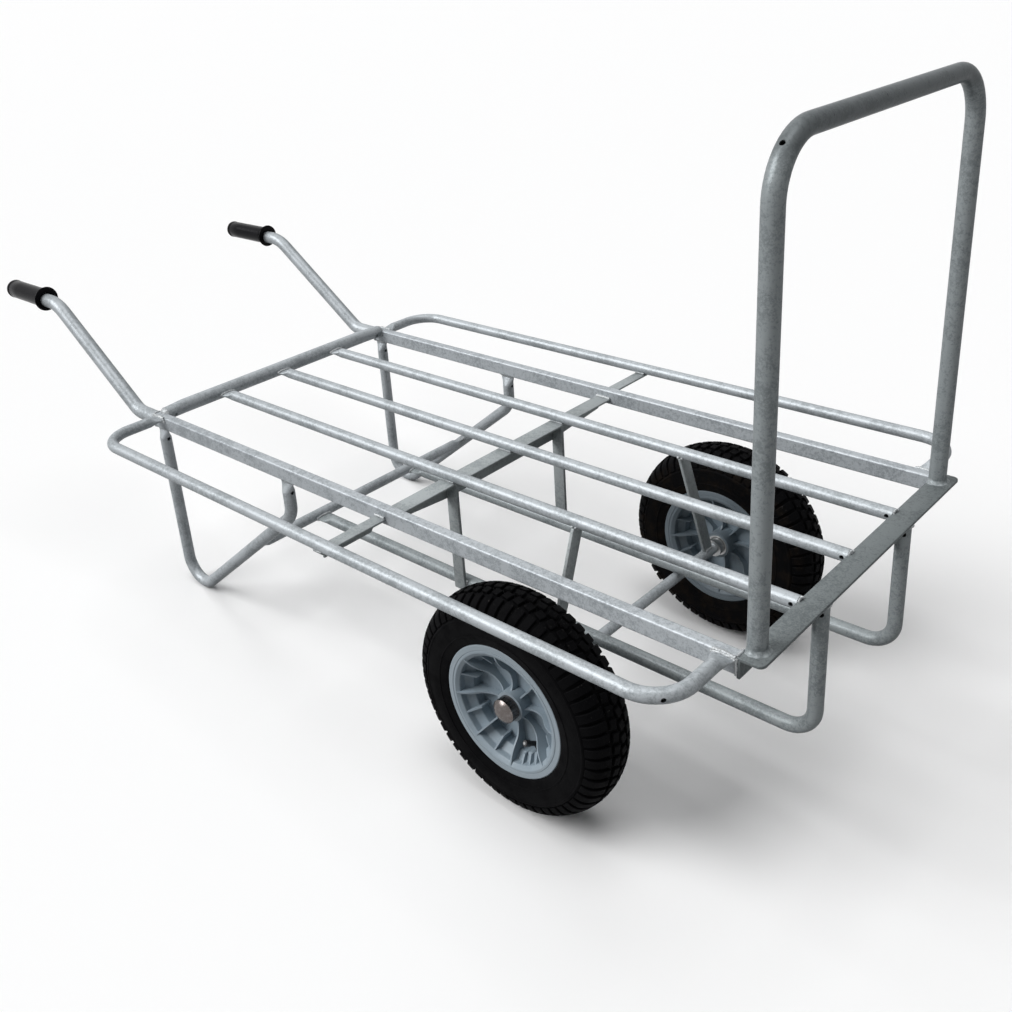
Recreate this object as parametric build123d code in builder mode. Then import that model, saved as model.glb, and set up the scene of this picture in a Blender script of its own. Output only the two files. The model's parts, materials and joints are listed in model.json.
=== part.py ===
from build123d import *
import os
from math import asin, atan, atan2, cos, degrees, hypot, radians, sin, sqrt, tan

# A flat two-wheeled hand cart: a bed of galvanised tube with handles behind, a tall hoop in front,
# a low wing rail along each side, bent legs under the rear and two wheels on a through axle.
#
# The pieces are drawn with the bed level.  X runs forwards from the handles to the hoop, Y to the
# left, and Z up from the ground under the wheels, with the axle at X = 0.  At the end the cart leans
# back about its axle until the legs stand on the ground.  All sizes are in millimetres.

SIDES = {"right": -1, "left": 1}

# Wheel and axle
TYRE_DIA = 400
TYRE_WIDTH = 102
WHEEL_Y = 315
AXLE_Z = TYRE_DIA / 2
AXLE_DIA = 20
AXLE_HALF = 355
AXLE_CHAMFER = 1
RUNNING_GAP = 0.05
SIDE_GAP = 0.4
SEAT_GAP = 0.3

# Side rails, rectangular tube
RAIL_WIDTH = 20
RAIL_HEIGHT = 30
RAIL_WALL = 2
RAIL_CORNER = 4
RAIL_OUTER_Y = 321
RAIL_TOP = 457.5
RAIL_REAR = -1000
RAIL_Y = RAIL_OUTER_Y - RAIL_WIDTH / 2
RAIL_INNER_Y = RAIL_OUTER_Y - RAIL_WIDTH
RAIL_Z = RAIL_TOP - RAIL_HEIGHT / 2
RAIL_BOTTOM = RAIL_TOP - RAIL_HEIGHT

# Front angle bar: its flat leg is on top and its other leg hangs at the rear edge
FRONT_REAR = 393.7
FRONT_WIDTH = 38
FRONT_DROP = 33
FRONT_THICK = 5
FRONT_TOP = 457.8
FRONT_HALF = 321.5
FRONT_CORNER = 10
FRONT_UNDER = FRONT_TOP - FRONT_THICK

# Round tubes: the sizes of the thin and the stout ones, and the holes that let zinc drain out
THIN_DIA = 22
THIN_WALL = 2
STOUT_DIA = 30
STOUT_WALL = 2.3
DRAIN_DIA = 7.5

# Flattened tube ends
TONGUE_WIDE = 34
TONGUE_THICK = 6
TONGUE_LONG = 6
TAPER_LONG = 18
END_REACH = TONGUE_LONG + TAPER_LONG

# Handles and grips
HANDLE_LOW_X = -1073.5
HANDLE_RISE = 35
HANDLE_LOW_BEND = 50
HANDLE_HIGH_BEND = 90
GRIP_Z = 637
GRIP_START = -1400
GRIP_END = -1557
GRIP_DIA = 42
GRIP_COLLAR_DIA = 55
GRIP_COLLAR_THICK = 8
GRIP_CLOSED_END = 6
GRIP_ROUND = 5
GRIP_COLLAR_ROUND = 2.6
HANDLE_HIGH_X = HANDLE_LOW_X - (GRIP_Z - RAIL_Z) / tan(radians(HANDLE_RISE))
HANDLE_END = GRIP_END + GRIP_CLOSED_END

# Bed tubes
CROSS_X = -987
CROSS_Z = 454.7
CROSS_END_WIDE = 31
CROSS_END_HIGH = 27
CROSS_END_LONG = 4
CROSS_END_TAPER = 42
CROSS_END_X = -984
CROSS_END_Z = 454
CROSS_DRAIN_Y = 285.5
CROSS_DRAIN_X = -970
CROSS_DRAIN_Z = 450
SLAT_STEP = 154
SLAT_Z = 451.65
SLAT_DRAIN_BACK = 8
SLAT_UNDER = SLAT_Z - THIN_DIA / 2

# Middle angle bar: its hanging leg is at the rear edge and is cut shallower towards the rails
MID_FRONT = -273
MID_WIDTH = 35
MID_THICK = 4
MID_DROP = 42
MID_DROP_AT_RAIL = 28
MID_TAPER_Y = 150
MID_REAR = MID_FRONT - MID_WIDTH

# Wing rails
WING_Y = 454
WING_REAR = -978
WING_FRONT = 374
WING_BEND = 60
WING_DRAIN_TURN = 45

# Wing supports: a small angle on the right, whose leg stops short at both ends, and a flat bar on the left
WING_SUPPORT_REAR = {"right": -305.5, "left": -314.5}
WING_SUPPORT_WIDE = 25
WING_SUPPORT_END = 459
WING_SUPPORT_DROP = 25
WING_LEG_FULL_Y = 338
WING_LEG_END_Y = 441

# Legs and their brace
LEG_DIA = 24
LEG_WALL = 2
LEG_REAR = -985.5
LEG_FRONT = -566
LEG_SLOPE = 0.8
LEG_SLOPE_X = -820
LEG_SLOPE_Z = 147
LEG_LOW_BEND = 48
LEG_HIGH_BEND = 50
LEG_TONGUE_WIDE = 36
LEG_DRAIN_DOWN = 25.5
BRACE_X = -722

# Lower tubes, posts and struts
LOWER_DIA = 24
LOWER_WALL = 2
LOWER_Y = 135.5
LOWER_UP_X = 418
LOWER_BEND = 46
LOWER_TONGUE_LONG = 16
LOWER_DRAIN_DOWN = 13.8
LOWER_DRAIN_TURN = 25
LOWER_Z = AXLE_Z + AXLE_DIA / 2 + LOWER_DIA / 2
POST_WIDE = 26
POST_THICK = 6
POST_BELOW = 11
STRUT_WIDE = 25
STRUT_THICK = 6
STRUT_TOP_Y = 155
STRUT_FOOT_Y = 240
STRUT_LAP = 3
STRUT_SADDLE = 0.6

# Hoop
HOOP_X = 406
HOOP_HALF = 291
HOOP_TOP = 1120
HOOP_BEND = 78
HOOP_DIA = 28
HOOP_WALL = 2.3
HOOP_DRAIN_TURN = 47

# Rim section, as radius and as distance from the wheel's middle plane
RIM_LIP_R = 119
RIM_LIP_HALF = 46
RIM_LIP_THICK = 3.5
RIM_MOUTH_R = 104
RIM_SEAT_R = 101.6
RIM_SEAT_FROM = 26
RIM_SEAT_TO = 37
RIM_WELL_R = 90
RIM_WELL_HALF = 16
RIM_WALL = 4.5
RIM_WEB_HALF = 4
RIM_GROOVE_R = 108
RIM_GROOVE_WIDE = 1.2
RIM_GROOVE_DEEP = 0.8
RIM_LIP_ROUND = 2
RIM_EDGE_ROUND = 0.3
RIM_DISH_ROUND = 3
HUB_R = 26
HUB_OUT = 28
HUB_IN = 39
HUB_BORE_R = 17

# Rim ribs
RIB_THICK = 3
RIB_COUNT = 8
RIB_TURN = 5
RIB_HUB_R = 25
RIB_FLAT_FROM_R = 35
RIB_FLAT_TO_R = 48
RIB_KNEE_R = 63
RIB_SHOULDER_R = 75
RIB_CROWN_R = 88
RIB_TIP_R = 103.5
RIB_HUB_HEIGHT = 21
RIB_INNER_HUB_HEIGHT = 32
RIB_FLAT_HEIGHT = 16
RIB_KNEE_HEIGHT = 21.5
RIB_SHOULDER_HEIGHT = 32
RIB_CROWN_HEIGHT = 40.5
RIB_TIP_HEIGHT = 45.5
SHORT_RIB_END_HEIGHT = 25
VALVE_RIB_SPREAD = 10
VALVE_RIB_END_R = 85
VALVE_RIB_END_HEIGHT = 28

# Bearings, spacer and valve
BEARING_R = 21
BEARING_WIDE = 12
BEARING_OUT = 24
BEARING_GROOVE_R = (13, 18)
BEARING_GROOVE_DEEP = 0.8
FIT_GAP = 0.02
SPACER_R = 13
VALVE_TURN = 297.5
VALVE_OUT = 9
VALVE_DIA = 8.5
VALVE_BEND_R = 76.5
VALVE_BEND = 6
VALVE_LEAN = 59
VALVE_LONG = 14
VALVE_CAP_LONG = 11
VALVE_CAP_DIA = 11
VALVE_CAP_ROUND = 1.5

# Tyre section
TREAD_SHOULDER_R = 189.5
TREAD_SHOULDER_HALF = 36.5
SIDEWALL_R = 150
CASING = 7.5
BEAD_HIGH = 9
TUBE_MID_R = 150
TUBE_HIGH = 40.5
TUBE_HALF = 37
TUBE_WALL = 3

# Rings and caps on the axle
WASHER_R = 17
WASHER_THICK = 2
COLLAR_R = 17
COLLAR_LONG = 12
CAP_R = 21
CAP_SKIRT = 17.5
CAP_DOME = 9

pieces = {}


def tube(points, outer, wall, bends=()):
    """Sweep a hollow round tube along straight runs joined by tangent bends."""
    with BuildLine() as route:
        if bends:
            FilletPolyline(*points, radius=list(bends))
        else:
            Line(*points)
    with BuildSketch(Plane(origin=route.line @ 0, z_dir=route.line % 0)) as ring:
        Circle(outer / 2)
        Circle(outer / 2 - wall, mode=Mode.SUBTRACT)
    sweep(ring.sketch, path=route.line)


def flat_end(tip, outwards, across, outer, wide=TONGUE_WIDE, high=TONGUE_THICK, long=TONGUE_LONG,
             taper=TAPER_LONG, lift=(0, 0, 0)):
    """Close a tube with a taper from its round section to a flat tongue that ends at a tip."""
    end = Plane(origin=tip, x_dir=across, z_dir=outwards)
    start = Plane(origin=Vector(tip) + Vector(lift), x_dir=across, z_dir=outwards)
    with BuildSketch(start.offset(-long - taper)) as round_section:
        Circle(outer / 2)
    with BuildSketch(end.offset(-long)) as flat_section:
        Ellipse(wide / 2, high / 2)
    loft([round_section.sketch, flat_section.sketch])
    extrude(flat_section.sketch, amount=long)


def drain_hole(mouth, facing, deep):
    """Drill a drain hole through one tube wall, from a mouth on its outside."""
    with BuildSketch(Plane(origin=mouth, z_dir=facing)) as hole:
        Circle(DRAIN_DIA / 2)
    extrude(hole.sketch, amount=deep, both=True, mode=Mode.SUBTRACT)


def leg_axis_z(x):
    """Height of a leg's sloping run at a place along the cart."""
    return LEG_SLOPE_Z + LEG_SLOPE * (x - LEG_SLOPE_X)


def angle_leg(rear, depths):
    """Extrude an angle's hanging leg at its rear edge from a list of (place across, depth)."""
    with BuildSketch(Plane.YZ.offset(rear)) as leg:
        with BuildLine() as outline:
            low = [(y, SLAT_UNDER - depth) for y, depth in depths]
            Polyline(*low, (low[-1][0], SLAT_UNDER), (low[0][0], SLAT_UNDER), close=True)
        make_face(outline.edges())
    extrude(leg.sketch, amount=MID_THICK)


def radial_plane(sign, turn=0):
    """Half plane of a wheel: x is the radius, y the distance outwards from its middle plane."""
    out = Vector(cos(radians(turn)), 0, sin(radians(turn)))
    return Plane(origin=(0, sign * WHEEL_Y, AXLE_Z), x_dir=out, z_dir=out.cross(Vector(0, sign, 0)))


def axle_ring(sign, inner, outer, start, end, mode=Mode.ADD):
    """Revolve a plain ring on the axle, from a start to an end distance outwards of the wheel."""
    with BuildSketch(radial_plane(sign)) as section:
        with Locations(((inner + outer) / 2, (start + end) / 2)):
            Rectangle(outer - inner, end - start)
    revolve(section.sketch, axis=Axis((0, 0, AXLE_Z), (0, 1, 0)), mode=mode)


def rib(sign, turn, face, top_points, foot_points):
    """Stand one flat rib in the rim: a smooth top edge, and a foot sunk in the web and the wall."""
    seat_middle = RIM_SEAT_R - RIM_WALL / 2
    well_middle = RIM_WELL_R - RIM_WALL / 2
    wall_points = [
        (RIB_TIP_R, RIM_SEAT_TO + RIM_WALL),
        (seat_middle, RIM_SEAT_TO),
        (seat_middle, RIM_SEAT_FROM + RIM_WALL / 2),
        (well_middle, RIM_WELL_HALF + RIM_WALL / 2),
        (well_middle, 0),
    ]
    lower = [top_points[-1], *wall_points, *foot_points, top_points[0]]
    with BuildSketch(radial_plane(sign, turn)) as plate:
        with BuildLine() as outline:
            Spline(*[(r, face * height) for r, height in top_points])
            Polyline(*[(r, face * height) for r, height in lower])
        make_face(outline.edges())
    extrude(plate.sketch, amount=RIB_THICK / 2, both=True)


def long_rib(sign, turn, face, hub_height):
    """Stand a rib from the hub to the rim's lip; its top dips over the web."""
    top = [
        (RIB_HUB_R, hub_height),
        (RIB_FLAT_FROM_R, RIB_FLAT_HEIGHT),
        (RIB_FLAT_TO_R, RIB_FLAT_HEIGHT),
        (RIB_KNEE_R, RIB_KNEE_HEIGHT),
        (RIB_SHOULDER_R, RIB_SHOULDER_HEIGHT),
        (RIB_CROWN_R, RIB_CROWN_HEIGHT),
        (RIB_TIP_R, RIB_TIP_HEIGHT),
    ]
    rib(sign, turn, face, top, [(RIB_HUB_R, 0)])


def short_rib(sign, turn, face, end_r=RIB_SHOULDER_R, end_height=SHORT_RIB_END_HEIGHT):
    """Stand a rib across the rim's wall only, with a straight top and a square inner end."""
    top = [(end_r, end_height), (RIB_TIP_R, RIB_TIP_HEIGHT)]
    rib(sign, turn, face, top, [(end_r, 0)])


def valve_place(sign, along):
    """Point and direction on the valve's leaning part, a distance along it from its bend."""
    spoke = radial_plane(sign, VALVE_TURN)
    inwards, outwards = cos(radians(VALVE_LEAN)), sin(radians(VALVE_LEAN))
    place = spoke.from_local_coords((VALVE_BEND_R - along * inwards, VALVE_OUT + along * outwards, 0))
    return place, spoke.y_dir * outwards - spoke.x_dir * inwards


# Bed: side rails, cross members and slats
for side, sign in SIDES.items():
    with BuildPart() as rail:
        with BuildSketch(Plane.YZ.offset(RAIL_REAR)):
            with Locations((sign * RAIL_Y, RAIL_Z)):
                RectangleRounded(RAIL_WIDTH, RAIL_HEIGHT, RAIL_CORNER)
                RectangleRounded(
                    RAIL_WIDTH - 2 * RAIL_WALL,
                    RAIL_HEIGHT - 2 * RAIL_WALL,
                    RAIL_CORNER - RAIL_WALL,
                    mode=Mode.SUBTRACT,
                )
        extrude(amount=FRONT_REAR - RAIL_REAR)
    pieces[f"rail_{side}"] = rail

with BuildPart() as rear_cross_tube:
    round_half = RAIL_INNER_Y - CROSS_END_LONG - CROSS_END_TAPER
    tube([(CROSS_X, -round_half, CROSS_Z), (CROSS_X, round_half, CROSS_Z)], STOUT_DIA, STOUT_WALL)
    for sign in SIDES.values():
        flat_end(
            (CROSS_END_X, sign * RAIL_INNER_Y, CROSS_END_Z),
            (0, sign, 0),
            (1, 0, 0),
            STOUT_DIA,
            CROSS_END_WIDE,
            CROSS_END_HIGH,
            CROSS_END_LONG,
            CROSS_END_TAPER,
            (CROSS_X - CROSS_END_X, 0, CROSS_Z - CROSS_END_Z),
        )
        drain_hole((CROSS_DRAIN_X, sign * CROSS_DRAIN_Y, CROSS_DRAIN_Z), (1, 0, 0), 2 * STOUT_WALL)
pieces["rear_cross_tube"] = rear_cross_tube

for name, y in (("right", -SLAT_STEP), ("middle", 0), ("left", SLAT_STEP)):
    with BuildPart() as slat:
        tip_x = CROSS_X + STOUT_DIA / 2
        tube([(tip_x + END_REACH, y, SLAT_Z), (FRONT_REAR, y, SLAT_Z)], THIN_DIA, THIN_WALL)
        flat_end((tip_x, y, SLAT_Z), (-1, 0, 0), (0, 1, 0), THIN_DIA)
        drain_hole((FRONT_REAR - SLAT_DRAIN_BACK, y - THIN_DIA / 2, SLAT_Z), (0, -1, 0), 2 * THIN_WALL)
    pieces[f"slat_{name}"] = slat

with BuildPart() as front_angle:
    with BuildSketch(Plane.XZ):
        with Locations((FRONT_REAR, FRONT_TOP)):
            Rectangle(FRONT_WIDTH, FRONT_THICK, align=(Align.MIN, Align.MAX))
            Rectangle(FRONT_THICK, FRONT_DROP, align=(Align.MIN, Align.MAX))
    extrude(amount=FRONT_HALF, both=True)
    fillet(front_angle.edges().filter_by(Axis.Z).group_by(Axis.X)[-1], FRONT_CORNER)
pieces["front_angle"] = front_angle

with BuildPart() as mid_angle:
    with BuildSketch(Plane.XY.offset(SLAT_UNDER)):
        with Locations((MID_REAR, 0)):
            Rectangle(MID_WIDTH, 2 * RAIL_INNER_Y, align=(Align.MIN, Align.CENTER))
    extrude(amount=-MID_THICK)
    angle_leg(
        MID_REAR,
        [
            (-RAIL_INNER_Y, MID_DROP_AT_RAIL),
            (-MID_TAPER_Y, MID_DROP),
            (MID_TAPER_Y, MID_DROP),
            (RAIL_INNER_Y, MID_DROP_AT_RAIL),
        ],
    )
pieces["mid_angle"] = mid_angle

# Wings: a bent rail along each side, carried half way on a short bar
for side, sign in SIDES.items():
    with BuildPart() as wing_support:
        rear = WING_SUPPORT_REAR[side]
        with BuildSketch(Plane.XY.offset(SLAT_UNDER)):
            with Locations((rear + WING_SUPPORT_WIDE / 2, sign * (RAIL_OUTER_Y + WING_SUPPORT_END) / 2)):
                Rectangle(WING_SUPPORT_WIDE, WING_SUPPORT_END - RAIL_OUTER_Y)
        extrude(amount=-MID_THICK)
        if side == "right":
            angle_leg(
                rear,
                [
                    (sign * RAIL_OUTER_Y, MID_THICK),
                    (sign * WING_LEG_FULL_Y, WING_SUPPORT_DROP),
                    (sign * WING_LEG_END_Y, WING_SUPPORT_DROP),
                ],
            )
    pieces[f"wing_support_{side}"] = wing_support

    with BuildPart() as wing_rail:
        root_y = sign * (RAIL_OUTER_Y + END_REACH)
        tube(
            [
                (WING_REAR, root_y, SLAT_Z),
                (WING_REAR, sign * WING_Y, SLAT_Z),
                (WING_FRONT, sign * WING_Y, SLAT_Z),
                (WING_FRONT, root_y, SLAT_Z),
            ],
            THIN_DIA,
            THIN_WALL,
            (WING_BEND, WING_BEND),
        )
        for x in (WING_REAR, WING_FRONT):
            flat_end((x, sign * RAIL_OUTER_Y, SLAT_Z), (0, -sign, 0), (1, 0, 0), THIN_DIA)
        bend_y = sign * (WING_Y - WING_BEND)
        outer_bend = WING_BEND + THIN_DIA / 2
        drain_out = Vector(cos(radians(WING_DRAIN_TURN)), sign * sin(radians(WING_DRAIN_TURN)), 0)
        bend_middle = Vector(WING_FRONT - WING_BEND, bend_y, SLAT_Z)
        drain_hole(bend_middle + drain_out * outer_bend, drain_out, 2 * THIN_WALL)
    pieces[f"wing_rail_{side}"] = wing_rail

# Handles and their grips
for side, sign in SIDES.items():
    with BuildPart() as handle:
        tube(
            [
                (RAIL_REAR, sign * RAIL_Y, RAIL_Z),
                (HANDLE_LOW_X, sign * RAIL_Y, RAIL_Z),
                (HANDLE_HIGH_X, sign * RAIL_Y, GRIP_Z),
                (HANDLE_END, sign * RAIL_Y, GRIP_Z),
            ],
            STOUT_DIA,
            STOUT_WALL,
            (HANDLE_LOW_BEND, HANDLE_HIGH_BEND),
        )
    pieces[f"handle_{side}"] = handle

    with BuildPart() as grip:
        with BuildSketch(Plane(origin=(0, sign * RAIL_Y, GRIP_Z), x_dir=(1, 0, 0), z_dir=(0, -1, 0))):
            with BuildLine():
                Polyline(
                    (GRIP_START, STOUT_DIA / 2 + FIT_GAP),
                    (GRIP_START, GRIP_COLLAR_DIA / 2),
                    (GRIP_START - GRIP_COLLAR_THICK, GRIP_COLLAR_DIA / 2),
                    (GRIP_START - GRIP_COLLAR_THICK, GRIP_DIA / 2),
                    (GRIP_END, GRIP_DIA / 2),
                    (GRIP_END, 0),
                    (HANDLE_END - FIT_GAP, 0),
                    (HANDLE_END - FIT_GAP, STOUT_DIA / 2 + FIT_GAP),
                    close=True,
                )
            make_face()
        revolve(axis=Axis((0, sign * RAIL_Y, GRIP_Z), (1, 0, 0)))
        fillet(grip.edges().filter_by(GeomType.CIRCLE).group_by(Axis.X)[0], GRIP_ROUND)
        collar_edges = grip.edges().filter_by(GeomType.CIRCLE).group_by(SortBy.RADIUS)[-1]
        fillet(collar_edges, GRIP_COLLAR_ROUND)
    pieces[f"grip_{side}"] = grip

# Legs, and the brace between their sloping runs
for side, sign in SIDES.items():
    leg_y = sign * RAIL_Y
    with BuildPart() as leg:
        tube(
            [
                (LEG_REAR, leg_y, RAIL_BOTTOM - END_REACH),
                (LEG_REAR, leg_y, leg_axis_z(LEG_REAR)),
                (LEG_FRONT, leg_y, leg_axis_z(LEG_FRONT)),
                (LEG_FRONT, leg_y, RAIL_BOTTOM - END_REACH),
            ],
            LEG_DIA,
            LEG_WALL,
            (LEG_LOW_BEND, LEG_HIGH_BEND),
        )
        for x in (LEG_REAR, LEG_FRONT):
            flat_end((x, leg_y, RAIL_BOTTOM), (0, 0, 1), (1, 0, 0), LEG_DIA, LEG_TONGUE_WIDE)
            drain_hole((x + LEG_DIA / 2, leg_y, RAIL_BOTTOM - LEG_DRAIN_DOWN), (1, 0, 0), 2 * LEG_WALL)
    pieces[f"leg_{side}"] = leg

with BuildPart() as leg_brace:
    brace_z = leg_axis_z(BRACE_X)
    brace_half = RAIL_Y - LEG_DIA / 2
    along_leg = (1, 0, LEG_SLOPE)
    round_half = brace_half - END_REACH
    tube([(BRACE_X, -round_half, brace_z), (BRACE_X, round_half, brace_z)], THIN_DIA, THIN_WALL)
    for sign in SIDES.values():
        flat_end((BRACE_X, sign * brace_half, brace_z), (0, sign, 0), along_leg, THIN_DIA)
pieces["leg_brace"] = leg_brace

# Lower frame: tubes over the axle, posts behind it and struts down to it
for side, sign in SIDES.items():
    low_y = sign * LOWER_Y
    with BuildPart() as lower_tube:
        tip_x = BRACE_X + THIN_DIA / 2
        tube(
            [
                (tip_x + LOWER_TONGUE_LONG + TAPER_LONG, low_y, LOWER_Z),
                (LOWER_UP_X, low_y, LOWER_Z),
                (LOWER_UP_X, low_y, FRONT_UNDER),
            ],
            LOWER_DIA,
            LOWER_WALL,
            (LOWER_BEND,),
        )
        tip = (tip_x, low_y, LOWER_Z)
        flat_end(tip, (-1, 0, 0), (0, 1, 0), LOWER_DIA, LEG_TONGUE_WIDE, long=LOWER_TONGUE_LONG)
        drain_out = Vector(sin(radians(LOWER_DRAIN_TURN)), -cos(radians(LOWER_DRAIN_TURN)), 0)
        drain_middle = Vector(LOWER_UP_X, low_y, FRONT_UNDER - LOWER_DRAIN_DOWN)
        drain_hole(drain_middle + drain_out * (LOWER_DIA / 2), drain_out, 2 * LOWER_WALL)
    pieces[f"lower_tube_{side}"] = lower_tube

    with BuildPart() as post:
        post_inner = LOWER_Y + LOWER_DIA / 2
        with BuildSketch(Plane.XY.offset(SLAT_UNDER - MID_THICK)):
            with Locations((MID_REAR + MID_THICK + POST_WIDE / 2, sign * (post_inner + POST_THICK / 2))):
                Rectangle(POST_WIDE, POST_THICK)
        extrude(amount=LOWER_Z - POST_BELOW - (SLAT_UNDER - MID_THICK))
    pieces[f"post_{side}"] = post

    with BuildPart() as axle_strut:
        foot_z = AXLE_Z + AXLE_DIA / 2 - STRUT_SADDLE
        top_z = SLAT_UNDER + STRUT_LAP
        half_wide = STRUT_WIDE / 2 / cos(atan((STRUT_FOOT_Y - STRUT_TOP_Y) / (top_z - foot_z)))
        with BuildSketch(Plane.YZ):
            with BuildLine():
                Polyline(
                    (sign * (STRUT_FOOT_Y - half_wide), foot_z),
                    (sign * (STRUT_FOOT_Y + half_wide), foot_z),
                    (sign * (STRUT_TOP_Y + half_wide), top_z),
                    (sign * (STRUT_TOP_Y - half_wide), top_z),
                    close=True,
                )
            make_face()
        extrude(amount=STRUT_THICK / 2, both=True)
        with BuildSketch(Plane.XZ):
            with Locations((0, AXLE_Z)):
                Circle(AXLE_DIA / 2)
        extrude(amount=AXLE_HALF, both=True, mode=Mode.SUBTRACT)
        with BuildSketch(Plane.YZ):
            with Locations((sign * SLAT_STEP, SLAT_Z)):
                Circle(THIN_DIA / 2)
        extrude(amount=STRUT_THICK, both=True, mode=Mode.SUBTRACT)
    pieces[f"axle_strut_{side}"] = axle_strut

# Hoop
with BuildPart() as hoop:
    tube(
        [
            (HOOP_X, -HOOP_HALF, FRONT_TOP),
            (HOOP_X, -HOOP_HALF, HOOP_TOP),
            (HOOP_X, HOOP_HALF, HOOP_TOP),
            (HOOP_X, HOOP_HALF, FRONT_TOP),
        ],
        HOOP_DIA,
        HOOP_WALL,
        (HOOP_BEND, HOOP_BEND),
    )
    outer_bend = HOOP_BEND + HOOP_DIA / 2
    for sign in SIDES.values():
        drain_out = Vector(0, sign * cos(radians(HOOP_DRAIN_TURN)), sin(radians(HOOP_DRAIN_TURN)))
        bend_middle = Vector(HOOP_X, sign * (HOOP_HALF - HOOP_BEND), HOOP_TOP - HOOP_BEND)
        drain_hole(bend_middle + drain_out * outer_bend, drain_out, 2 * HOOP_WALL)
pieces["hoop"] = hoop

# Axle with its collars, washers and caps
with BuildPart() as axle:
    with BuildSketch(Plane.XZ):
        with Locations((0, AXLE_Z)):
            Circle(AXLE_DIA / 2)
    extrude(amount=AXLE_HALF, both=True)
    chamfer(axle.edges().filter_by(GeomType.CIRCLE), AXLE_CHAMFER)
pieces["axle"] = axle

inner_washer_start = -HUB_IN - SIDE_GAP
outer_washer_start = BEARING_OUT + SIDE_GAP
with BuildPart() as axle_washers:
    for sign in SIDES.values():
        for start in (inner_washer_start - WASHER_THICK, outer_washer_start):
            axle_ring(sign, AXLE_DIA / 2 + FIT_GAP, WASHER_R, start, start + WASHER_THICK)
pieces["axle_washers"] = axle_washers

with BuildPart() as axle_collars:
    collar_end = inner_washer_start - WASHER_THICK
    for sign in SIDES.values():
        axle_ring(sign, AXLE_DIA / 2 + FIT_GAP, COLLAR_R, collar_end - COLLAR_LONG, collar_end)
pieces["axle_collars"] = axle_collars

for side, sign in SIDES.items():
    with BuildPart() as axle_cap:
        skirt_from = outer_washer_start + WASHER_THICK
        skirt_to = skirt_from + CAP_SKIRT
        dome_ball = (CAP_R**2 + CAP_DOME**2) / (2 * CAP_DOME)
        dome_side = skirt_to + CAP_DOME - dome_ball + sqrt(dome_ball**2 - (CAP_R / 2) ** 2)
        bore_to = AXLE_HALF - WHEEL_Y + FIT_GAP
        bore_r = AXLE_DIA / 2 + FIT_GAP
        with BuildSketch(radial_plane(sign)):
            with BuildLine():
                Polyline((bore_r, skirt_from), (CAP_R, skirt_from), (CAP_R, skirt_to))
                ThreePointArc((CAP_R, skirt_to), (CAP_R / 2, dome_side), (0, skirt_to + CAP_DOME))
                Polyline((0, skirt_to + CAP_DOME), (0, bore_to), (bore_r, bore_to), (bore_r, skirt_from))
            make_face()
        revolve(axis=Axis((0, 0, AXLE_Z), (0, 1, 0)))
    pieces[f"axle_cap_{side}"] = axle_cap

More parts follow.
